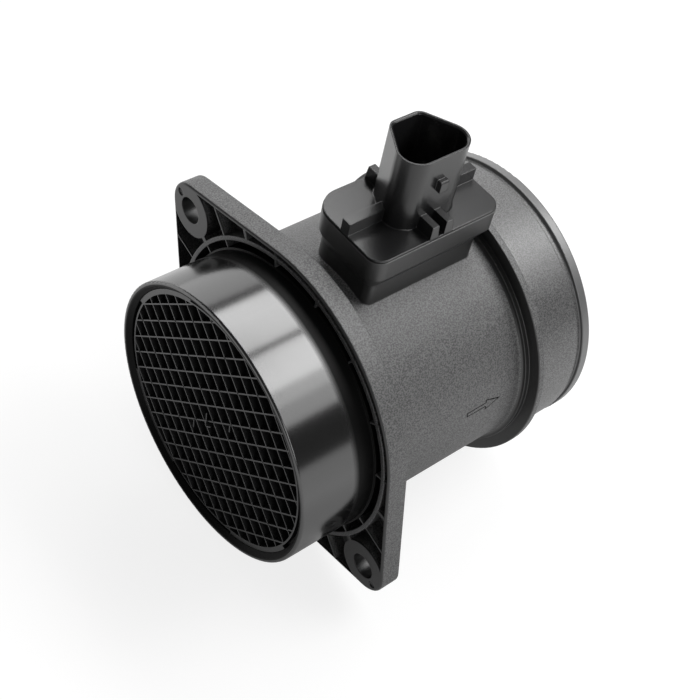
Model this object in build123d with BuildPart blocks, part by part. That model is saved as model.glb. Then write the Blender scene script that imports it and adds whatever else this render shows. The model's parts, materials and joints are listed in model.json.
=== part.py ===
from build123d import *
from math import cos, radians, sin
import os

os.makedirs("parts", exist_ok=True)

# The duct's centre line is the X axis, air enters at -X, the flange's front face is X = 0,
# and the plug points up along Z. Everything is in millimetres
inlet_length = 23.1
inlet_radius = 41.0
lip_wall = 1.3
lip_inner_radius = inlet_radius - lip_wall
lip_round = 0.5
root_rise = 0.5
root_radius = inlet_radius + root_rise
body_setback = 1.5
body_radius = inlet_radius - body_setback
body_wall = 2.5
bore_radius = body_radius - body_wall

# Hose end behind the collar, with a shallow groove before its rim
step_start = 54.7
step_rise = 1.6
step_radius = body_radius + step_rise
step_fillet = 1.2
hose_rise = 1.0
hose_radius = inlet_radius + hose_rise
collar_start = 56.2
collar_end = 58.5
collar_rise = 2.8
collar_radius = hose_radius + collar_rise
collar_round = 0.3
groove_start = 74.5
groove_end = 76.5
groove_sink = 0.8
groove_radius = hose_radius - groove_sink
groove_edge_round = 0.3
groove_floor_round = 0.4
end_rise = 0.2
end_radius = hose_radius + end_rise
end_round = 0.6
outlet_end = 79.5
outlet_wall = 2.4
outlet_bore_radius = hose_radius - outlet_wall
outlet_edge_round = 0.6
flare_start = 55.4
flare_end = 59.4

# Flange with two ears on an axis turned from Y toward Z
ear_axis_angle = 32.4
flange_thickness = 6.2
flange_rise = 5.7
flange_radius = inlet_radius + flange_rise
ear_reach = 7.5
ear_offset = flange_radius + ear_reach
ear_radius = 8.0
bolt_hole_radius = 3.9
flange_edge_round = 0.7
flange_back_fillet = 1.2
wall_mid_radius = body_radius - body_wall / 2

# Front face of the flange is cored out, leaving a rim, a ring and radial ribs
pocket_depth = 4.6
flange_join = (pocket_depth + flange_thickness) / 2
rim_wall = 0.85
ring_rib_rise = 3.2
ring_rib_radius = inlet_radius + ring_rib_rise
ring_rib_width = 1.25
boss_radius = 8.1
thin_rib = 0.55
thick_rib = 1.15
boss_web = 1.5
thin_rib_angles = (14.9, 45.0, 67.5, 90.0, 112.5, 135.0, 165.1)
thick_rib_angles = (29.0, 151.0)
dimple_reach = 5.7
dimple_offset = ear_offset + dimple_reach
dimple_radius = 1.2
dimple_depth = 0.4

# Pedestal and head that carry the sensor
pedestal_x = 32.0
pedestal_length = 37.75
pedestal_width = 23.8
pedestal_corner = 2.5
pedestal_back_corner = 7.0
pedestal_bottom = 30.0
pedestal_top = 45.0
pedestal_fillet = 0.3
head_x = 33.7
head_length = 43.3
head_width = 26.7
head_corner = 4.3
head_back_corner = 7.7
head_bottom = 47.9
head_top = 54.2

# Flow arrow sunk into the side of the body, an outline drawn with a narrow stroke
arrow_start = 34.3
arrow_end = 46.9
arrow_angle = 168.3
arrow_stroke = 0.35
arrow_head_length = 5.6
arrow_head_half = 1.9
arrow_shaft_half = 0.8
arrow_depth = 0.25

# Grid insert in the inlet
grid_recess = 1.3
grid_depth = 7.2
tab_setback = 1.3
tab_radius = lip_inner_radius - tab_setback
grid_ring_setback = 0.95
grid_ring_radius = tab_radius - grid_ring_setback
grid_ring_wall = 0.55
grid_opening_radius = grid_ring_radius - grid_ring_wall
tab_thickness = 1.2
tab_count = 4
tab_gap_angle = 44.0
grid_turn = 46.0
blade_count = 15
row_pitch = 4.82
row_shift = 0.37
column_pitch = 4.98
column_shift = 1.1
row_thickness = 0.4
column_thickness = 0.35
slip_gap = 0.1

# Sensor body: cover plate, stepped plug, neck and the arm in the air stream
plate_x = 33.7
plate_length = 42.9
plate_width = 26.3
plate_corner = 4.1
plate_back_corner = 7.5
plate_top = 55.0
neck_x = 32.3
neck_length = 27.0
neck_width = 16.0
neck_corner = 4.0
neck_bottom = 36.5
plug_margin = 2.6
plug_bottom = 51.7
plug_gap = 0.1
seal_bottom = 45.6
seal_height = 2.6
groove_depth = 1.6
seal_round = 0.7
arm_length = 26.0
arm_half = 5.5
arm_bottom = -12.4
nose_round = 3.5
tail_round = 2.5
arm_tip_round = 1.0

# Ribs on the cover plate
rib_top = 58.75
long_rib_y = -0.1
long_rib_width = 2.85
cross_rib_x = (31.1, 35.8)
cross_rib_width = 2.8
cross_rib_draft = 5.0

# Connector shroud, a rounded trapezium with its wide side toward -Y
shroud_x = 34.1
shroud_top = 76.8
shroud_floor = 57.0
shroud_front_y = -7.75
shroud_back_y = 9.0
shroud_front_half = 14.45
shroud_back_half = 5.1
shroud_front_round = 5.4
shroud_back_round = 3.1
shroud_wall = 0.9
shroud_base_fillet = 0.3
mouth_chamfer = 0.4
catch_width = 2.6
catch_bottom = 66.4
catch_top = 69.7
catch_reach = 1.6
catch_chamfer = 0.4

# Electronics compartment and air channel, both open toward -Y before their lids go on
lid_x = 32.8
lid_length = 19.6
lid_thickness = 1.2
lid_corner = 1.5
lid_gap = 0.1
board_lid_bottom = 8.0
board_lid_top = 36.0
bay_length = 17.0
bay_bottom = 9.4
bay_top = 34.6
bay_floor_y = 2.5
bay_corner = 1.0
channel_lid_bottom = -11.2
channel_lid_top = 6.8
channel_width = 4.6
channel_bend_x = 35.3
channel_bend_z = -3.0
channel_bend_radius = 4.2
channel_back_y = 3.5
channel_mouth_x = 18.4
channel_end_x = 24.8
window_length = 4.5
window_reach = 3.0

# Sensing element, its carrier and the electronics
base_length = 16.6
base_thickness = 1.2
base_bottom = 10.0
base_top = 34.0
board_length = 15.0
board_thickness = 0.8
board_bottom = 11.0
board_top = 33.2
holder_length = 5.0
holder_thickness = 1.2
holder_bottom = -0.8
holder_gap = 0.05
chip_length = 2.6
chip_height = 3.4
chip_thickness = 0.4
chip_z = 1.3
regulator_x = 28.8
regulator_z = 27.0
regulator_size = 4.2
signal_x = 35.2
signal_z = 20.2
signal_size = 6.4
package_height = 1.0
capacitor_x = (27.6, 30.2, 32.8)
capacitor_z = 14.2
capacitor_length = 2.0
capacitor_width = 1.25
capacitor_height = 1.2
resistor_x = (35.8, 38.3)
resistor_z = 27.4
resistor_length = 1.6
resistor_width = 0.9
resistor_height = 0.5
bead_length = 3.4
bead_radius_ntc = 1.2
bead_top = -17.0
lead_x = 30.0
lead_radius = 0.25
lead_count = 2
lead_spacing = 1.4
lead_embed = 0.9

# Five blade terminals in one row
terminal_count = 5
terminal_pitch = 3.0
terminal_width = 1.4
terminal_thickness = 0.6
terminal_bottom = 30.0
terminal_top = 63.8
terminal_tip_chamfer = 0.25


# Rounded rectangle that several of the sketches below share
def rounded_outline(x, length, width, corner, mode=Mode.ADD):
    with Locations((x, 0)):
        RectangleRounded(length, width, corner, mode=mode)


# Outline of the pad, with wider rounds on the corners toward +Y
def pad_outline(x, length, width, corner, back_corner):
    with BuildSketch(mode=Mode.PRIVATE) as outline:
        with Locations((x, 0)):
            Rectangle(length, width)
        fillet(outline.vertices().group_by(Axis.Y)[0], corner)
        fillet(outline.vertices().group_by(Axis.Y)[-1], back_corner)
    add(outline.sketch)


# Ribs that run outward from start_radius in the flange's front face
def cut_ribs(angles, width, start_radius, end_radius):
    for angle in angles:
        for turn in (angle, -angle):
            with Locations(Location((0, 0, 0), (0, 0, turn))):
                with Locations((start_radius, 0)):
                    Rectangle(
                        end_radius - start_radius,
                        width,
                        align=(Align.MIN, Align.CENTER),
                        mode=Mode.SUBTRACT,
                    )


# Part that lies flat on the board, from one face of it outward
def surface_mount(x, z, length, height, thickness):
    with BuildPart() as piece:
        with BuildSketch(Plane.XZ.offset(-board_face_y)):
            with Locations((x, z)):
                Rectangle(length, height)
        extrude(amount=thickness)
    return piece


grid_front = grid_recess - inlet_length
tab_back = grid_front + tab_thickness
grid_back = grid_front + grid_depth
ring_mid_radius = (grid_ring_radius + grid_opening_radius) / 2
ear_axis = (0, cos(radians(ear_axis_angle)), sin(radians(ear_axis_angle)))
flange_plane = Plane(origin=(0, 0, 0), x_dir=ear_axis, z_dir=(1, 0, 0))
ears = ((ear_offset, 0), (-ear_offset, 0))
pedestal = (pedestal_x, pedestal_length, pedestal_width, pedestal_corner, pedestal_back_corner)
head = (head_x, head_length, head_width, head_corner, head_back_corner)
plate = (plate_x, plate_length, plate_width, plate_corner, plate_back_corner)
plug_length = neck_length + 2 * plug_margin
plug_width = neck_width + 2 * plug_margin
plug_corner = neck_corner + plug_margin
board_face_y = bay_floor_y - base_thickness - board_thickness
lid_back_y = lid_thickness - arm_half

# Housing: flange first, so that its front edge can be rounded
with BuildPart() as tube_housing:
    with BuildSketch(flange_plane) as flange_outline:
        Circle(flange_radius)
        with Locations(ears):
            Circle(ear_radius)
        make_hull()
        Circle(wall_mid_radius, mode=Mode.SUBTRACT)
        with Locations(ears):
            Circle(bolt_hole_radius, mode=Mode.SUBTRACT)
    extrude(amount=flange_thickness)
    front_face = tube_housing.faces().sort_by(Axis.X)[0]
    fillet(front_face.outer_wire().edges(), flange_edge_round)

    with BuildSketch(flange_plane) as flange_pockets:
        Circle(flange_radius - rim_wall)
        with Locations(ears):
            Circle(ear_radius - rim_wall)
        make_hull()
        Circle(ring_rib_radius + ring_rib_width / 2, mode=Mode.SUBTRACT)
        Circle(ring_rib_radius - ring_rib_width / 2)
        Circle(inlet_radius, mode=Mode.SUBTRACT)
        with Locations(ears):
            Circle(boss_radius, mode=Mode.SUBTRACT)
        cut_ribs((0, 180), thin_rib, bore_radius, ring_rib_radius)
        cut_ribs((0, 180), boss_web, ring_rib_radius, ear_offset)
        cut_ribs(thin_rib_angles, thin_rib, bore_radius, ear_offset)
        cut_ribs(thick_rib_angles, thick_rib, ring_rib_radius, ear_offset)
    extrude(amount=pocket_depth, mode=Mode.SUBTRACT)

    with BuildSketch(flange_plane) as dimples:
        with Locations((dimple_offset, 0), (-dimple_offset, 0)):
            Circle(dimple_radius)
    extrude(amount=dimple_depth, mode=Mode.SUBTRACT)

    # Wall of the duct from the inlet lip to the outlet's rim
    with BuildSketch(Plane.XY) as duct_section:
        with BuildLine():
            Polyline(
                (-inlet_length, lip_inner_radius),
                (-inlet_length, inlet_radius),
                (0, inlet_radius),
                (0, root_radius),
                (flange_join, root_radius),
                (flange_join, body_radius),
                (step_start, body_radius),
                (step_start, step_radius),
                (collar_start, step_radius),
                (collar_start, collar_radius),
                (collar_end, collar_radius),
                (collar_end, hose_radius),
                (groove_start, hose_radius),
                (groove_start, groove_radius),
                (groove_end, groove_radius),
                (groove_end, end_radius),
                (outlet_end, end_radius),
                (outlet_end, outlet_bore_radius),
                (flare_end, outlet_bore_radius),
                (flare_start, bore_radius),
                (grid_back, bore_radius),
                (grid_back, grid_ring_radius + slip_gap),
                (tab_back, grid_ring_radius + slip_gap),
                (tab_back, tab_radius + slip_gap),
                (grid_front, tab_radius + slip_gap),
                close=True,
            )
        make_face()
        for x, r, radius in (
            (-inlet_length, inlet_radius, lip_round),
            (step_start, body_radius, step_fillet),
            (collar_start, collar_radius, collar_round),
            (collar_end, collar_radius, collar_round),
            (groove_start, hose_radius, groove_edge_round),
            (groove_start, groove_radius, groove_floor_round),
            (groove_end, groove_radius, groove_floor_round),
            (groove_end, end_radius, groove_edge_round),
            (outlet_end, end_radius, end_round),
            (outlet_end, outlet_bore_radius, outlet_edge_round),
        ):
            fillet(duct_section.vertices().sort_by_distance((x, r, 0))[0], radius)
    revolve(axis=Axis.X)
    body_rings = tube_housing.edges().filter_by(GeomType.CIRCLE)
    body_rings = body_rings.filter_by(lambda e: abs(e.radius - body_radius) < slip_gap)
    fillet(body_rings.sort_by(Axis.X)[0], flange_back_fillet)

    # Pedestal, then the wider head on top of it
    with BuildSketch(Plane.XY.offset(pedestal_bottom)):
        pad_outline(*pedestal)
    extrude(amount=pedestal_top - pedestal_bottom)
    low_foot = bore_radius + slip_gap
    high_foot = body_radius + slip_gap
    foot_edges = tube_housing.edges(Select.LAST)
    fillet(foot_edges.filter_by_position(Axis.Z, low_foot, high_foot), pedestal_fillet)
    with BuildSketch(Plane.XY.offset(pedestal_top)):
        pad_outline(*pedestal)
    with BuildSketch(Plane.XY.offset(head_bottom)):
        pad_outline(*head)
    loft()
    with BuildSketch(Plane.XY.offset(head_bottom)):
        pad_outline(*head)
    extrude(amount=head_top - head_bottom)

    # Bore through the pedestal's foot, the neck's opening and the recess for the plug
    with BuildSketch(Plane.YZ.offset(grid_back)):
        Circle(bore_radius)
    extrude(amount=flare_start - grid_back, mode=Mode.SUBTRACT)
    with BuildSketch(Plane.XY.offset(pedestal_bottom)):
        rounded_outline(neck_x, neck_length + 2 * plug_gap, neck_width + 2 * plug_gap, neck_corner)
    extrude(amount=head_top - pedestal_bottom, mode=Mode.SUBTRACT)
    with BuildSketch(Plane.XY.offset(plug_bottom)):
        rounded_outline(neck_x, plug_length + 2 * plug_gap, plug_width + 2 * plug_gap, plug_corner)
    extrude(amount=head_top - plug_bottom, mode=Mode.SUBTRACT)

    # Flow arrow, cut from a plane that touches the body
    arrow_side = (0, cos(radians(arrow_angle)), sin(radians(arrow_angle)))
    touch_point = tuple(body_radius * part for part in arrow_side)
    arrow_neck = arrow_end - arrow_head_length
    with BuildSketch(Plane(origin=touch_point, x_dir=(1, 0, 0), z_dir=arrow_side)):
        with BuildLine():
            Polyline(
                (arrow_start, -arrow_shaft_half),
                (arrow_neck, -arrow_shaft_half),
                (arrow_neck, -arrow_head_half),
                (arrow_end, 0),
                (arrow_neck, arrow_head_half),
                (arrow_neck, arrow_shaft_half),
                (arrow_start, arrow_shaft_half),
                close=True,
            )
        make_face()
        offset(amount=-arrow_stroke, mode=Mode.SUBTRACT)
    extrude(amount=-arrow_depth, mode=Mode.SUBTRACT)

tube_housing.part.label = "tube_housing"
export_step(tube_housing.part, "parts/tube_housing.step")

# Grid insert: thin ring with four tabs, and a lattice moulded with it
gap_width = 2 * tab_radius * sin(radians(tab_gap_angle / 2))
with BuildPart() as inlet_grid:
    with BuildSketch(Plane.YZ.offset(grid_front)) as grid_ring:
        Circle(grid_ring_radius)
        Circle(grid_opening_radius, mode=Mode.SUBTRACT)
    extrude(amount=grid_depth)
    with BuildSketch(Plane.YZ.offset(grid_front)) as grid_tabs:
        Circle(tab_radius)
        with PolarLocations(tab_radius, tab_count):
            Rectangle(tab_radius, gap_width, mode=Mode.SUBTRACT)
        Circle(ring_mid_radius)
        Circle(grid_opening_radius, mode=Mode.SUBTRACT)
    extrude(amount=tab_thickness)
    with BuildSketch(Plane.YZ.offset(grid_front)) as lattice:
        with Locations(Location((0, 0, 0), (0, 0, grid_turn))):
            with Locations((row_shift, 0)):
                with GridLocations(row_pitch, row_pitch, blade_count, 1):
                    Rectangle(row_thickness, 2 * grid_ring_radius)
            with Locations((0, column_shift)):
                with GridLocations(column_pitch, column_pitch, 1, blade_count):
                    Rectangle(2 * grid_ring_radius, column_thickness)
        Circle(ring_mid_radius, mode=Mode.INTERSECT)
    extrude(amount=grid_depth)

inlet_grid.part.label = "inlet_grid"
export_step(inlet_grid.part, "parts/inlet_grid.step")

# Sensor body, one moulding from the connector down to the tip of the arm
with BuildPart() as sensor_body:
    with BuildSketch(Plane.XY.offset(head_top)):
        pad_outline(*plate)
    extrude(amount=plate_top - head_top)
    with BuildSketch(Plane.XY.offset(plug_bottom)):
        rounded_outline(neck_x, plug_length, plug_width, plug_corner)
    extrude(amount=head_top - plug_bottom)
    with BuildSketch(Plane.XY.offset(neck_bottom)):
        rounded_outline(neck_x, neck_length, neck_width, neck_corner)
    extrude(amount=plug_bottom - neck_bottom)

    # Groove for the seal
    core = (neck_length - 2 * groove_depth, neck_width - 2 * groove_depth, neck_corner - groove_depth)
    with BuildSketch(Plane.XY.offset(seal_bottom)):
        rounded_outline(neck_x, neck_length + groove_depth, neck_width + groove_depth, neck_corner)
        rounded_outline(neck_x, *core, mode=Mode.SUBTRACT)
    extrude(amount=seal_height, mode=Mode.SUBTRACT)

    # Arm with a round nose toward the incoming air
    with BuildSketch(Plane.XY.offset(arm_bottom)) as arm_outline:
        with Locations((neck_x, 0)):
            Rectangle(arm_length, 2 * arm_half)
        fillet(arm_outline.vertices().group_by(Axis.X)[0], nose_round)
        fillet(arm_outline.vertices().group_by(Axis.X)[-1], tail_round)
    extrude(amount=neck_bottom - arm_bottom)

    # Seats of the two lids
    with BuildSketch(Plane.XZ.offset(-lid_back_y)):
        with Locations((lid_x, (board_lid_bottom + board_lid_top) / 2)):
            RectangleRounded(lid_length, board_lid_top - board_lid_bottom, lid_corner)
        with Locations((lid_x, (channel_lid_bottom + channel_lid_top) / 2)):
            RectangleRounded(lid_length, channel_lid_top - channel_lid_bottom, lid_corner)
    extrude(amount=2 * lid_thickness, mode=Mode.SUBTRACT)

    # Bay for the board, and the slot through which the sensing tongue reaches the channel
    with BuildSketch(Plane.XZ.offset(-bay_floor_y)):
        with Locations((lid_x, (bay_bottom + bay_top) / 2)):
            RectangleRounded(bay_length, bay_top - bay_bottom, bay_corner)
    extrude(amount=bay_floor_y - lid_back_y, mode=Mode.SUBTRACT)
    with BuildSketch(Plane.XY.offset(channel_bend_z)):
        with Locations((lid_x, bay_floor_y - holder_thickness / 2)):
            Rectangle(holder_length + 2 * holder_gap, holder_thickness + 2 * holder_gap)
    extrude(amount=bay_bottom + bay_corner - channel_bend_z, mode=Mode.SUBTRACT)

    # Air channel: in through the nose, round a bend, past the chip and out through the far side
    low_z = channel_bend_z - channel_bend_radius
    high_z = channel_bend_z + channel_bend_radius
    half = channel_width / 2
    outer_radius = channel_bend_radius + half
    inner_radius = channel_bend_radius - half
    with BuildSketch(Plane.XZ.offset(-channel_back_y)) as channel:
        with BuildLine():
            outer_low = Line((channel_mouth_x, low_z - half), (channel_bend_x, low_z - half))
            ThreePointArc(
                (channel_bend_x, low_z - half),
                (channel_bend_x + outer_radius, channel_bend_z),
                (channel_bend_x, high_z + half),
            )
            Polyline(
                (channel_bend_x, high_z + half),
                (channel_end_x, high_z + half),
                (channel_end_x, high_z - half),
                (channel_bend_x, high_z - half),
            )
            ThreePointArc(
                (channel_bend_x, high_z - half),
                (channel_bend_x + inner_radius, channel_bend_z),
                (channel_bend_x, low_z + half),
            )
            Polyline(
                (channel_bend_x, low_z + half),
                (channel_mouth_x, low_z + half),
                (channel_mouth_x, low_z - half),
            )
        make_face()
    extrude(amount=channel_back_y - lid_back_y, mode=Mode.SUBTRACT)
    with BuildSketch(Plane.XZ.offset(-channel_back_y)):
        with Locations((channel_end_x, high_z)):
            Rectangle(window_length, channel_width, align=(Align.MIN, Align.CENTER))
    extrude(amount=-window_reach, mode=Mode.SUBTRACT)

    # Connector shroud with its fillet on the plate
    with BuildSketch(Plane.XY.offset(plate_top)) as shroud_outline:
        with BuildLine():
            Polyline(
                (shroud_x - shroud_front_half, shroud_front_y),
                (shroud_x + shroud_front_half, shroud_front_y),
                (shroud_x + shroud_back_half, shroud_back_y),
                (shroud_x - shroud_back_half, shroud_back_y),
                close=True,
            )
        make_face()
        fillet(shroud_outline.vertices().group_by(Axis.Y)[0], shroud_front_round)
        fillet(shroud_outline.vertices().group_by(Axis.Y)[-1], shroud_back_round)
    extrude(amount=shroud_top - plate_top)
    shroud_foot = sensor_body.edges(Select.LAST).filter_by_position(
        Axis.Z, plate_top - slip_gap, plate_top + slip_gap
    )
    fillet(shroud_foot, shroud_base_fillet)

    # Stiffening ribs from the shroud to the plate's edges, then the socket's hollow
    with BuildSketch(Plane.XY.offset(plate_top)):
        with Locations((plate_x, long_rib_y)):
            Rectangle(plate_length, long_rib_width)
    extrude(amount=rib_top - plate_top)
    with BuildSketch(Plane.XY.offset(plate_top)):
        for x in cross_rib_x:
            with Locations((x, 0)):
                Rectangle(cross_rib_width, plate_width)
    extrude(amount=rib_top - plate_top, taper=cross_rib_draft)
    with BuildSketch(Plane.XY.offset(shroud_floor)):
        add(shroud_outline.sketch.moved(Location((0, 0, shroud_floor - plate_top))))
        offset(amount=-shroud_wall, mode=Mode.REPLACE)
    extrude(amount=shroud_top - shroud_floor, mode=Mode.SUBTRACT)
    mouth = sensor_body.faces().sort_by(Axis.Z)[-1].inner_wires()[0]
    chamfer(mouth.edges(), mouth_chamfer)

    # Latch catch on the front wall
    with BuildSketch(Plane.XY.offset(catch_bottom)):
        with Locations((shroud_x, shroud_front_y + shroud_wall / 2)):
            Rectangle(catch_width, catch_reach + shroud_wall / 2, align=(Align.CENTER, Align.MAX))
    extrude(amount=catch_top - catch_bottom)
    catch_edges = sensor_body.edges(Select.LAST).filter_by(Axis.X).sort_by(Axis.Y)
    chamfer(catch_edges.group_by(Axis.Y)[0].sort_by(Axis.Z)[-1], catch_chamfer)

    # Holes that the terminals and the leads are moulded into
    terminal_way = bay_top - bay_corner
    with BuildSketch(Plane.XY.offset(terminal_way)):
        with Locations((shroud_x, board_face_y - terminal_thickness / 2)):
            with GridLocations(terminal_pitch, terminal_pitch, terminal_count, 1):
                Rectangle(terminal_width, terminal_thickness)
    extrude(amount=shroud_floor - terminal_way, mode=Mode.SUBTRACT)
    with BuildSketch(Plane.XY.offset(arm_bottom)):
        with Locations((lead_x, 0)):
            with GridLocations(lead_spacing, lead_spacing, lead_count, 1):
                Circle(lead_radius)
    extrude(amount=lead_embed, mode=Mode.SUBTRACT)

sensor_body.part.label = "sensor_body"
export_step(sensor_body.part, "parts/sensor_body.step")

# Rubber ring that fills the groove and touches the opening's wall
with BuildPart() as body_seal:
    with BuildSketch(Plane.XY.offset(seal_bottom)):
        rounded_outline(neck_x, neck_length + 2 * plug_gap, neck_width + 2 * plug_gap, neck_corner)
        rounded_outline(neck_x, *core, mode=Mode.SUBTRACT)
    extrude(amount=seal_height)
body_seal.part.label = "body_seal"
export_step(body_seal.part, "parts/body_seal.step")

# Lids over the bay and the air channel, flush with the arm
with BuildPart() as board_cover:
    with BuildSketch(Plane.XZ.offset(-lid_back_y)):
        with Locations((lid_x, (board_lid_bottom + board_lid_top) / 2)):
            RectangleRounded(
                lid_length - 2 * lid_gap, board_lid_top - board_lid_bottom - 2 * lid_gap, lid_corner
            )
    extrude(amount=lid_thickness)
board_cover.part.label = "board_cover"
export_step(board_cover.part, "parts/board_cover.step")

with BuildPart() as bypass_cover:
    with BuildSketch(Plane.XZ.offset(-lid_back_y)):
        with Locations((lid_x, (channel_lid_bottom + channel_lid_top) / 2)):
            RectangleRounded(
                lid_length - 2 * lid_gap, channel_lid_top - channel_lid_bottom - 2 * lid_gap, lid_corner
            )
    extrude(amount=lid_thickness)
bypass_cover.part.label = "bypass_cover"
export_step(bypass_cover.part, "parts/bypass_cover.step")

# Metal plate glued to the bay's floor, and the ceramic board on it
with BuildPart() as base_plate:
    with BuildSketch(Plane.XZ.offset(-bay_floor_y)):
        with Locations((lid_x, (base_bottom + base_top) / 2)):
            Rectangle(base_length, base_top - base_bottom)
    extrude(amount=base_thickness)
base_plate.part.label = "base_plate"
export_step(base_plate.part, "parts/base_plate.step")

with BuildPart() as circuit_board:
    with BuildSketch(Plane.XZ.offset(base_thickness - bay_floor_y)):
        with Locations((lid_x, (board_bottom + board_top) / 2)):
            Rectangle(board_length, board_top - board_bottom)
    extrude(amount=board_thickness)
circuit_board.part.label = "circuit_board"
export_step(circuit_board.part, "parts/circuit_board.step")

# Tongue that carries the sensing chip in the middle of the air channel
chip_face_y = bay_floor_y - holder_thickness
with BuildPart() as chip_holder:
    with BuildSketch(Plane.XZ.offset(-bay_floor_y)):
        with Locations((lid_x, (holder_bottom + base_bottom) / 2)):
            Rectangle(holder_length, base_bottom - holder_bottom)
    extrude(amount=holder_thickness)
    with BuildSketch(Plane.XZ.offset(-chip_face_y)):
        with Locations((lid_x, chip_z)):
            Rectangle(chip_length + 2 * holder_gap, chip_height + 2 * holder_gap)
    extrude(amount=-chip_thickness, mode=Mode.SUBTRACT)
chip_holder.part.label = "chip_holder"
export_step(chip_holder.part, "parts/chip_holder.step")

with BuildPart() as sensor_chip:
    with BuildSketch(Plane.XZ.offset(-chip_face_y)):
        with Locations((lid_x, chip_z)):
            Rectangle(chip_length, chip_height)
    extrude(amount=-chip_thickness)
sensor_chip.part.label = "sensor_chip"
export_step(sensor_chip.part, "parts/sensor_chip.step")

signal_ic = surface_mount(signal_x, signal_z, signal_size, signal_size, package_height)
signal_ic.part.label = "signal_ic"
export_step(signal_ic.part, "parts/signal_ic.step")

regulator_ic = surface_mount(regulator_x, regulator_z, regulator_size, regulator_size, package_height)
regulator_ic.part.label = "regulator_ic"
export_step(regulator_ic.part, "parts/regulator_ic.step")

for number, x in enumerate(capacitor_x, start=1):
    capacitor = surface_mount(x, capacitor_z, capacitor_width, capacitor_length, capacitor_height)
    capacitor.part.label = f"capacitor_{number}"
    export_step(capacitor.part, f"parts/capacitor_{number}.step")

for number, x in enumerate(resistor_x, start=1):
    resistor = surface_mount(x, resistor_z, resistor_width, resistor_length, resistor_height)
    resistor.part.label = f"resistor_{number}"
    export_step(resistor.part, f"parts/resistor_{number}.step")

# Bead that reads the air's temperature, hung on two stiff leads below the arm
with BuildPart() as thermistor:
    with BuildSketch(Plane.XY.offset(bead_top - bead_length)):
        with Locations((lead_x, 0)):
            Circle(bead_radius_ntc)
    extrude(amount=bead_length)
    fillet(thermistor.edges().filter_by(GeomType.CIRCLE), bead_radius_ntc / 2)
thermistor.part.label = "thermistor"
export_step(thermistor.part, "parts/thermistor.step")

for number in range(1, lead_count + 1):
    lead_place = lead_x + (number - (lead_count + 1) / 2) * lead_spacing
    with BuildPart() as thermistor_lead:
        with BuildSketch(Plane.XY.offset(bead_top)):
            with Locations((lead_place, 0)):
                Circle(lead_radius)
        extrude(amount=arm_bottom + lead_embed - bead_top)
    thermistor_lead.part.label = f"thermistor_lead_{number}"
    export_step(thermistor_lead.part, f"parts/thermistor_lead_{number}.step")

# Blade terminals from the plug down to the board's face
for number in range(1, terminal_count + 1):
    terminal_x = shroud_x + (number - (terminal_count + 1) / 2) * terminal_pitch
    with BuildPart() as terminal:
        with BuildSketch(Plane.XY.offset(terminal_bottom)):
            with Locations((terminal_x, board_face_y - terminal_thickness / 2)):
                Rectangle(terminal_width, terminal_thickness)
        extrude(amount=terminal_top - terminal_bottom)
        chamfer(terminal.faces().sort_by(Axis.Z)[-1].edges(), terminal_tip_chamfer)
    terminal.part.label = f"terminal_{number}"
    export_step(terminal.part, f"parts/terminal_{number}.step")
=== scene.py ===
import json
import math

import bmesh
import bpy
from mathutils import Matrix, Quaternion, Vector


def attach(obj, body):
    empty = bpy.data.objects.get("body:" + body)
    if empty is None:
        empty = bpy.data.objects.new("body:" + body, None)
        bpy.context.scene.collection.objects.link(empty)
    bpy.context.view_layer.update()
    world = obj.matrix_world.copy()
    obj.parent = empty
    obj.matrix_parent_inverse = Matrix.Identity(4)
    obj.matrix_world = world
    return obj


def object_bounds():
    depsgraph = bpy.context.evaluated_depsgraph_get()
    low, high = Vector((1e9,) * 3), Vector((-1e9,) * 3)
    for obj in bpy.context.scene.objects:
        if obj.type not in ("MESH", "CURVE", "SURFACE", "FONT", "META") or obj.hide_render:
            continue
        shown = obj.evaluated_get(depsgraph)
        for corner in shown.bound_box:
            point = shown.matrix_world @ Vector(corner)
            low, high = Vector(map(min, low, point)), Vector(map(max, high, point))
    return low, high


MM = 0.001
WHITE = (1.0, 1.0, 1.0, 1.0)

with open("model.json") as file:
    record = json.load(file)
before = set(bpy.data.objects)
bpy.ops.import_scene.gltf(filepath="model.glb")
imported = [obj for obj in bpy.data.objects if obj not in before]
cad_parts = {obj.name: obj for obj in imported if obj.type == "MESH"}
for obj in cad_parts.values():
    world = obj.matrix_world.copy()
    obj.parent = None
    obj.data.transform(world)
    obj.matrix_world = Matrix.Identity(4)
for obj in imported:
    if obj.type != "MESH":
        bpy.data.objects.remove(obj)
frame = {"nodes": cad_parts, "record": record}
cad_low, cad_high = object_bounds()
nodes = frame["nodes"]

# Camera, as the photograph was taken
camera_place = Vector((-159.4, -156.78, 278.46)) * MM
camera_line = Vector((0.50246, 0.42529, -0.75277))
camera_roll = math.radians(14.46)
camera_lens = 66.855
camera_sensor = 36.0
camera_near, camera_far = 0.01, 50.0

# Where the housing's finishes change along the duct's axis, in metres from the flange's front
lip_end = -14.0 * MM
polish_fade_start = -6.8 * MM
polish_fade_end = -4.8 * MM
face_end = 0.4 * MM
root_end = 5.6 * MM
flange_end = 6.6 * MM
body_start = 9.0 * MM
body_end = 56.5 * MM
hose_start = 58.3 * MM
rim_start = 76.2 * MM

# Where they change away from that axis, and the small depths that tell one face from the next
body_radius = 39.5 * MM
spigot_skin_radius = 40.1 * MM
root_outer_radius = 41.6 * MM
ring_rib_outer = 45.0 * MM
pad_skin = 0.3 * MM
arrow_skin = 0.08 * MM
arrow_depth = 0.32 * MM

# The bolt holes, on a line through the axis
ear_angle = math.radians(32.4)
ear_offset = 54.2 * MM
hole_radius = 3.9 * MM
hole_skin = 0.15 * MM

# Roughness and specular level of the housing's finishes, the low-specular pair giving painted
# shade on the spigot's root and lip
grained_roughness = 0.55
hose_roughness = 0.42
polished_roughness, polished_specular = 0.17, 0.9
painted_shade_roughness, painted_shade_specular = 0.4, 0.08
smooth_roughness = 0.38
pad_specular = 0.8
ear_specular = 0.5
duct_ior = 1.6
duct_edge_round = 0.4 * MM
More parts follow.
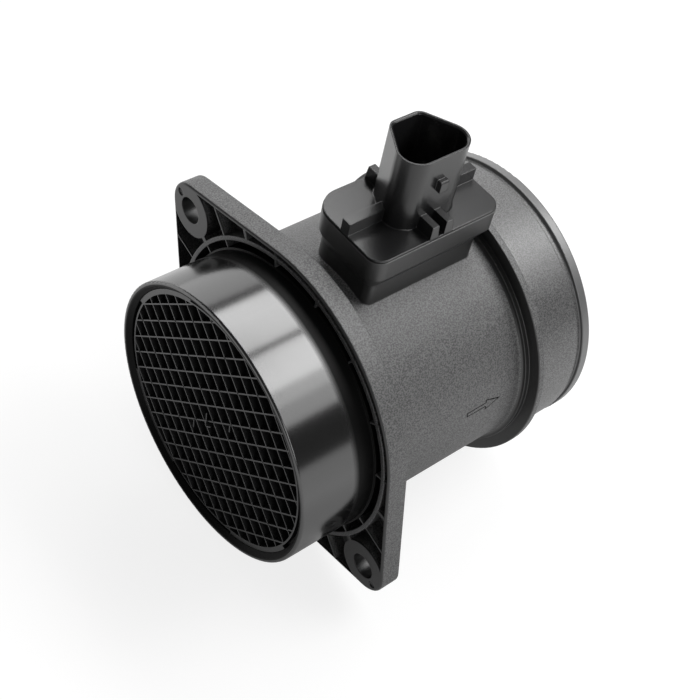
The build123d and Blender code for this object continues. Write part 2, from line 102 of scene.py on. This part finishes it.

# The housing's eroded grain and its specks, and the ripple of the polished spigot; the light
# tint is also a painted highlight on the rim, and face_lightness sets the painted shade on the
# flange's front
grain_scale, grain_detail = 2500.0, 2.0
grain_height = 0.1 * MM
fine_grain_level = 0.4
ripple_scale, ripple_detail, ripple_level = 110.0, 1.0, 0.2
speck_start, speck_end = 0.38, 0.62
speck_dark, speck_and_painted_light = (0.006, 0.006, 0.006), (0.125, 0.125, 0.126)
face_lightness = 0.2

edge_samples = 8


class Shader:
    """A Principled material with short ways to add nodes."""

    def __init__(self, name, colour, roughness, specular=0.5, metallic=0.0):
        self.material = bpy.data.materials.new(name)
        self.material.use_nodes = True
        self.tree = self.material.node_tree
        self.principled = self.tree.nodes["Principled BSDF"]
        self.set("Base Color", (*colour, 1.0))
        self.set("Roughness", roughness)
        self.set("Specular IOR Level", specular)
        self.set("Metallic", metallic)
        self.edge = None

    def set(self, socket, value):
        self.principled.inputs[socket].default_value = value

    def link(self, output, socket):
        self.tree.links.new(output, self.principled.inputs[socket])

    def math(self, operation, first, second=0.0):
        node = self.tree.nodes.new("ShaderNodeMath")
        node.operation = operation
        for socket, value in zip(node.inputs, (first, second)):
            if isinstance(value, (int, float)):
                socket.default_value = value
            else:
                self.tree.links.new(value, socket)
        return node.outputs[0]

    def total(self, first, *others):
        for other in others:
            first = self.math("ADD", first, other)
        return first

    def product(self, first, *others):
        for other in others:
            first = self.math("MULTIPLY", first, other)
        return first

    def greatest(self, first, *others):
        for other in others:
            first = self.math("MAXIMUM", first, other)
        return first

    def difference(self, first, second):
        return self.math("SUBTRACT", first, second)

    def above(self, value, limit):
        return self.math("GREATER_THAN", value, limit)

    def below(self, value, limit):
        return self.math("LESS_THAN", value, limit)

    def length(self, first, second):
        squares = self.total(self.product(first, first), self.product(second, second))
        return self.math("SQRT", squares)

    def place(self):
        return self.tree.nodes.new("ShaderNodeTexCoord").outputs["Object"]

    def split(self, vector):
        node = self.tree.nodes.new("ShaderNodeSeparateXYZ")
        self.tree.links.new(vector, node.inputs[0])
        return node.outputs

    def noise(self, scale, detail=2.0):
        node = self.tree.nodes.new("ShaderNodeTexNoise")
        node.inputs["Scale"].default_value = scale
        node.inputs["Detail"].default_value = detail
        self.tree.links.new(self.place(), node.inputs["Vector"])
        return node.outputs["Fac"]

    def blend(self, factor, low, high, start=0.0, end=1.0):
        node = self.tree.nodes.new("ShaderNodeMapRange")
        node.inputs["From Min"].default_value = start
        node.inputs["From Max"].default_value = end
        node.inputs["To Min"].default_value = low
        node.inputs["To Max"].default_value = high
        self.tree.links.new(factor, node.inputs["Value"])
        return node.outputs["Result"]

    def soften(self, radius):
        """Catch the light on edges as if they had a small round."""
        node = self.tree.nodes.new("ShaderNodeBevel")
        node.samples = edge_samples
        node.inputs["Radius"].default_value = radius
        self.edge = node.outputs["Normal"]
        self.link(self.edge, "Normal")

    def tint(self, factor, low, high):
        node = self.tree.nodes.new("ShaderNodeMix")
        node.data_type = "RGBA"
        node.inputs["A"].default_value = (*low, 1.0)
        node.inputs["B"].default_value = (*high, 1.0)
        self.tree.links.new(factor, node.inputs["Factor"])
        self.link(node.outputs["Result"], "Base Color")

    def bump(self, height, distance):
        """Raise the surface by its height, over the softened edges if there are any."""
        node = self.tree.nodes.new("ShaderNodeBump")
        node.inputs["Strength"].default_value = 1.0
        node.inputs["Distance"].default_value = distance
        if self.edge is not None:
            self.tree.links.new(self.edge, node.inputs["Normal"])
        self.tree.links.new(height, node.inputs["Height"])
        self.link(node.outputs["Normal"], "Normal")


def grained(name, colour, roughness, scale, depth, specular=0.5, edge_round=0.0):
    """Moulded plastic with a fine eroded grain."""
    shader = Shader(name, colour, roughness, specular)
    if edge_round:
        shader.soften(edge_round)
    shader.bump(shader.noise(scale), depth)
    return shader


# Housing: where each finish lies, as masks from zero to one
duct = Shader("duct_plastic", (0.05, 0.05, 0.0505), 0.5)
duct.set("IOR", duct_ior)
duct.soften(duct_edge_round)
x, y, z = duct.split(duct.place())
radius = duct.length(y, z)

# Inlet spigot: polished outside up to its root, and a lip inside; the root band and the lip get
# a dark, dull finish that is painted shade
spigot_skin = duct.above(radius, spigot_skin_radius)
within_root = duct.below(radius, root_outer_radius)
on_spigot = duct.product(spigot_skin, within_root, duct.below(x, root_end))
polish = duct.blend(x, 1.0, 0.0, polish_fade_start, polish_fade_end)
polished = duct.product(on_spigot, polish)
# Painted shade: the root band by the flange and the lip inside the inlet take the dull,
# low-specular finish
root = duct.difference(on_spigot, polished)
lip = duct.product(duct.below(x, lip_end), duct.difference(1.0, spigot_skin))
dull_painted_shade = duct.total(root, lip)

# Flange's front outside the ring rib, and the walls of the bolt holes
on_face = duct.product(duct.below(x, face_end), duct.above(radius, ring_rib_outer))
ear_cos, ear_sin = math.cos(ear_angle), math.sin(ear_angle)
along_ears = duct.total(duct.product(y, ear_cos), duct.product(z, ear_sin))
across_ears = duct.difference(duct.product(z, ear_cos), duct.product(y, ear_sin))
from_ear = duct.difference(duct.math("ABSOLUTE", along_ears), ear_offset)
from_hole = duct.length(from_ear, across_ears)
on_ear = duct.greatest(on_face, duct.below(from_hole, hole_radius + hole_skin))

# Pad with the collar's front, the engraved arrow's floor and the hose end's rim
on_body = duct.product(duct.above(x, body_start), duct.below(x, body_end))
on_pad = duct.product(on_body, duct.above(radius, body_radius + pad_skin))
below_body_skin = duct.below(radius, body_radius - arrow_skin)
above_arrow_depth = duct.above(radius, body_radius - arrow_depth)
in_arrow = duct.product(on_body, below_body_skin, above_arrow_depth)
on_rim = duct.above(x, rim_start)

# Eroded grain on the rest, finer on the hose end and on the flange's edge
smooth = duct.total(on_ear, on_pad, in_arrow, on_rim)
plain = duct.total(on_spigot, lip, smooth)
grained_skin = duct.difference(1.0, plain)
on_hose = duct.above(x, hose_start)
fine_grain = duct.greatest(on_hose, duct.below(x, flange_end))

# Housing: what the finishes look like
skin_roughness = duct.blend(on_hose, grained_roughness, hose_roughness)
duct_roughness = duct.total(
    duct.product(grained_skin, skin_roughness),
    duct.product(polished, polished_roughness),
    duct.product(dull_painted_shade, painted_shade_roughness),
    duct.product(smooth, smooth_roughness),
)
duct_specular = duct.total(
    grained_skin,
    duct.product(polished, polished_specular),
    duct.product(on_pad, pad_specular),
    on_rim,
    duct.product(on_ear, ear_specular),
    duct.product(dull_painted_shade, painted_shade_specular),
)
grain = duct.noise(grain_scale, grain_detail)
grain_level = duct.product(duct.blend(fine_grain, 1.0, fine_grain_level), grained_skin)
ripple = duct.product(duct.noise(ripple_scale, ripple_detail), polished, ripple_level)
speck = duct.product(duct.blend(grain, 0.0, 1.0, speck_start, speck_end), grained_skin)
# Tint lightness: random grain specks, full light on the hose end's rim as a painted highlight,
# and a darker tint on the flange's front as painted shade, lifted part way by face_lightness
lightness = duct.greatest(speck, on_rim, duct.product(on_face, face_lightness))
duct.link(duct_roughness, "Roughness")
duct.link(duct_specular, "Specular IOR Level")
duct.bump(duct.total(duct.product(grain, grain_level), ripple), grain_height)
duct.tint(lightness, speck_dark, speck_and_painted_light)

paints = {
    "duct_plastic": duct,
    "grid_plastic": grained(
        "grid_plastic", (0.025, 0.025, 0.0255), 0.32,
        scale=2200.0, depth=0.004 * MM, specular=0.9, edge_round=0.15 * MM,
    ),
    "sensor_plastic": grained(
        "sensor_plastic", (0.014, 0.014, 0.0145), 0.26,
        scale=2200.0, depth=0.006 * MM, specular=0.72, edge_round=0.3 * MM,
    ),
    "cover_plastic": grained(
        "cover_plastic", (0.03, 0.03, 0.031), 0.4, scale=3000.0, depth=0.01 * MM,
    ),
}

# Plain materials: slot, colour, roughness, metallic
plain_paints = (
    ("seal_rubber", (0.03, 0.07, 0.12), 0.6, 0.0),
    ("base_metal", (0.75, 0.76, 0.77), 0.35, 1.0),
    ("board_ceramic", (0.8, 0.8, 0.76), 0.5, 0.0),
    ("holder_metal", (0.7, 0.71, 0.72), 0.3, 1.0),
    ("chip_silicon", (0.18, 0.2, 0.26), 0.08, 0.0),
    ("package_plastic", (0.02, 0.02, 0.02), 0.5, 0.0),
    ("capacitor_ceramic", (0.4, 0.28, 0.18), 0.5, 0.0),
    ("resistor_ceramic", (0.05, 0.05, 0.055), 0.4, 0.0),
    ("thermistor_glass", (0.3, 0.14, 0.07), 0.1, 0.0),
    ("lead_metal", (0.7, 0.7, 0.7), 0.3, 1.0),
    ("terminal_metal", (0.72, 0.7, 0.66), 0.28, 1.0),
)
for slot, colour, roughness, metallic in plain_paints:
    paints[slot] = Shader(slot, colour, roughness, metallic=metallic)

node_slots = {part["node"]: part["material_slot"] for part in frame["record"]["subparts"]}
for name, node in nodes.items():
    node.data.materials.clear()
    node.data.materials.append(paints[node_slots[name]].material)


# The inlet grid's lattice: rows at grid_turn from +Y, columns across them
grid_turn = math.radians(46.0)
grid_front = -21.8 * MM
row_pitch, row_shift = 4.82 * MM, 0.37 * MM
column_pitch, column_shift = 4.98 * MM, 1.1 * MM
lattice_radius = 36.2 * MM
knot_step = 2
knot_radius, knot_sink, knot_detail = 0.34 * MM, 0.1 * MM, 2
tail_radius, tail_detail, tail_order = 0.2 * MM, 3, 3


def on_lattice(row, column, forward):
    """A point before the grid's front, from its distances across the rows and the columns."""
    y = row * math.cos(grid_turn) - column * math.sin(grid_turn)
    z = row * math.sin(grid_turn) + column * math.cos(grid_turn)
    return Vector((grid_front - forward, y, z))


def add_to_grid(name, mesh):
    piece = bpy.data.objects.new(name, mesh)
    bpy.context.scene.collection.objects.link(piece)
    mesh.materials.append(paints["grid_plastic"].material)
    for face in mesh.polygons:
        face.use_smooth = True
    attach(piece, "root")


# Small moulded knots at every second crossing
knots = bmesh.new()
most_rows = int(lattice_radius / row_pitch)
for row in range(-most_rows, most_rows + 1):
    for column in range(-most_rows, most_rows + 1):
        across_rows = row_shift + row * row_pitch
        across_columns = column_shift + column * column_pitch
        crossing = on_lattice(across_rows, across_columns, -knot_sink)
        has_knot = row % knot_step == 0 and column % knot_step == 0
        if has_knot and math.hypot(crossing.y, crossing.z) < lattice_radius:
            bmesh.ops.create_icosphere(
                knots, subdivisions=knot_detail, radius=knot_radius,
                matrix=Matrix.Translation(crossing),
            )
knots_mesh = bpy.data.meshes.new("grid_knots")
knots.to_mesh(knots_mesh)
knots.free()
add_to_grid("grid_knots", knots_mesh)

# Three fine gate tails on the middle row, the middle one curled: distances across the rows,
# across the columns and forward of the grid, in millimetres
tail_paths = {
    "grid_tail_left": ((0.4, -9.6, 0.1), (-0.8, -10.5, 0.2), (-2.0, -11.4, 0.25)),
    "grid_tail_middle": (
        (3.0, -0.4, 0.1), (1.9, -1.2, 0.2), (0.6, -2.1, 0.25),
        (-0.6, -3.4, 0.3), (-1.3, -2.9, 0.3), (-1.1, -1.0, 0.25),
    ),
    "grid_tail_right": ((0.4, 10.6, 0.1), (-0.6, 9.9, 0.2), (-1.6, 9.2, 0.25)),
}
for name, path in tail_paths.items():
    curve = bpy.data.curves.new(name, "CURVE")
    curve.dimensions = "3D"
    curve.bevel_depth = tail_radius
    curve.bevel_resolution = tail_detail
    curve.use_fill_caps = True
    spline = curve.splines.new("NURBS")
    spline.points.add(len(path) - 1)
    spline.order_u = tail_order
    spline.use_endpoint_u = True
    for point, (row, column, forward) in zip(spline.points, path):
        point.co = (*on_lattice(row * MM, column * MM, forward * MM), 1.0)
    drawn = bpy.data.objects.new(name + "_curve", curve)
    tail_mesh = bpy.data.meshes.new_from_object(drawn)
    bpy.data.objects.remove(drawn)
    tail_mesh.name = name
    add_to_grid(name, tail_mesh)

# Pale floor with its shadow kept: lifted to white for the camera and glass, and for gloss too,
# but less so near the part, a painted contact shadow seen in reflections
floor_size = 6.0
floor_gap = 0.2 * MM
floor_grey, floor_roughness = 0.3, 0.9
camera_lift = 0.8
gloss_lift_near, gloss_lift_far = 0.18, 0.8
gloss_near, gloss_far = 30 * MM, 150 * MM
bpy.ops.mesh.primitive_plane_add(size=floor_size, location=(0, 0, cad_low.z - floor_gap))
floor = bpy.context.object
floor.name = "floor"
floor_paint = Shader("floor_paint", (floor_grey, floor_grey, floor_grey), floor_roughness, 0.0)
floor_x, floor_y, _ = floor_paint.split(floor_paint.place())
from_part = floor_paint.length(floor_x, floor_y)
gloss_lift = floor_paint.blend(from_part, gloss_lift_near, gloss_lift_far, gloss_near, gloss_far)
rays = floor_paint.tree.nodes.new("ShaderNodeLightPath").outputs
seen = floor_paint.greatest(rays["Is Camera Ray"], rays["Is Transmission Ray"])
straight = floor_paint.product(seen, camera_lift)
mirrored = floor_paint.product(rays["Is Glossy Ray"], gloss_lift)
floor_paint.set("Emission Color", WHITE)
floor_paint.link(floor_paint.greatest(straight, mirrored), "Emission Strength")
floor.data.materials.append(floor_paint.material)

# Strips of light overhead with a narrow gap between the first two, and a pale screen on each
# side: name, place, target, size, watts
softboxes = (
    ("top_left_light", (0.52, 0.45, 0.9), (0.52, 0.45, 0.0), (0.3, 0.82), 4.6),
    ("top_middle_light", (0.7, -0.28, 0.9), (0.7, -0.28, 0.0), (0.66, 0.5), 6.8),
    ("top_step_light", (0.75, -0.68, 0.9), (0.75, -0.68, 0.0), (0.66, 0.28), 2.1),
    ("top_right_light", (0.8, -1.12, 0.9), (0.8, -1.12, 0.0), (0.66, 0.58), 2.8),
    ("left_screen", (0.5, 1.0, 0.36), (0.0, 0.0, 0.1), (1.6, 0.72), 5.8),
    ("right_screen", (-0.15, -1.1, 0.5), (0.0, 0.0, 0.0), (0.5, 0.6), 2.8),
)
for name, place, target, size, watts in softboxes:
    light = bpy.data.lights.new(name, "AREA")
    light.shape = "RECTANGLE"
    light.size, light.size_y = size
    light.energy = watts
    lamp = bpy.data.objects.new(name, light)
    lamp.location = Vector(place)
    lamp.rotation_mode = "QUATERNION"
    lamp.rotation_quaternion = (Vector(target) - Vector(place)).to_track_quat("-Z", "Y")
    bpy.context.scene.collection.objects.link(lamp)

world_level = 0.1
world = bpy.data.worlds.new("studio")
bpy.context.scene.world = world
world.use_nodes = True
background = world.node_tree.nodes["Background"]
background.inputs["Color"].default_value = WHITE
background.inputs["Strength"].default_value = world_level

camera_data = bpy.data.cameras.new("camera")
camera_data.lens = camera_lens
camera_data.sensor_width = camera_sensor
camera_data.clip_start = camera_near
camera_data.clip_end = camera_far
camera = bpy.data.objects.new("camera", camera_data)
camera.location = camera_place
camera.rotation_mode = "QUATERNION"
roll = Quaternion((0, 0, 1), camera_roll)
camera.rotation_quaternion = camera_line.to_track_quat("-Z", "Y") @ roll
bpy.context.scene.collection.objects.link(camera)
bpy.context.scene.camera = camera

bpy.context.scene.view_settings.view_transform = "Standard"
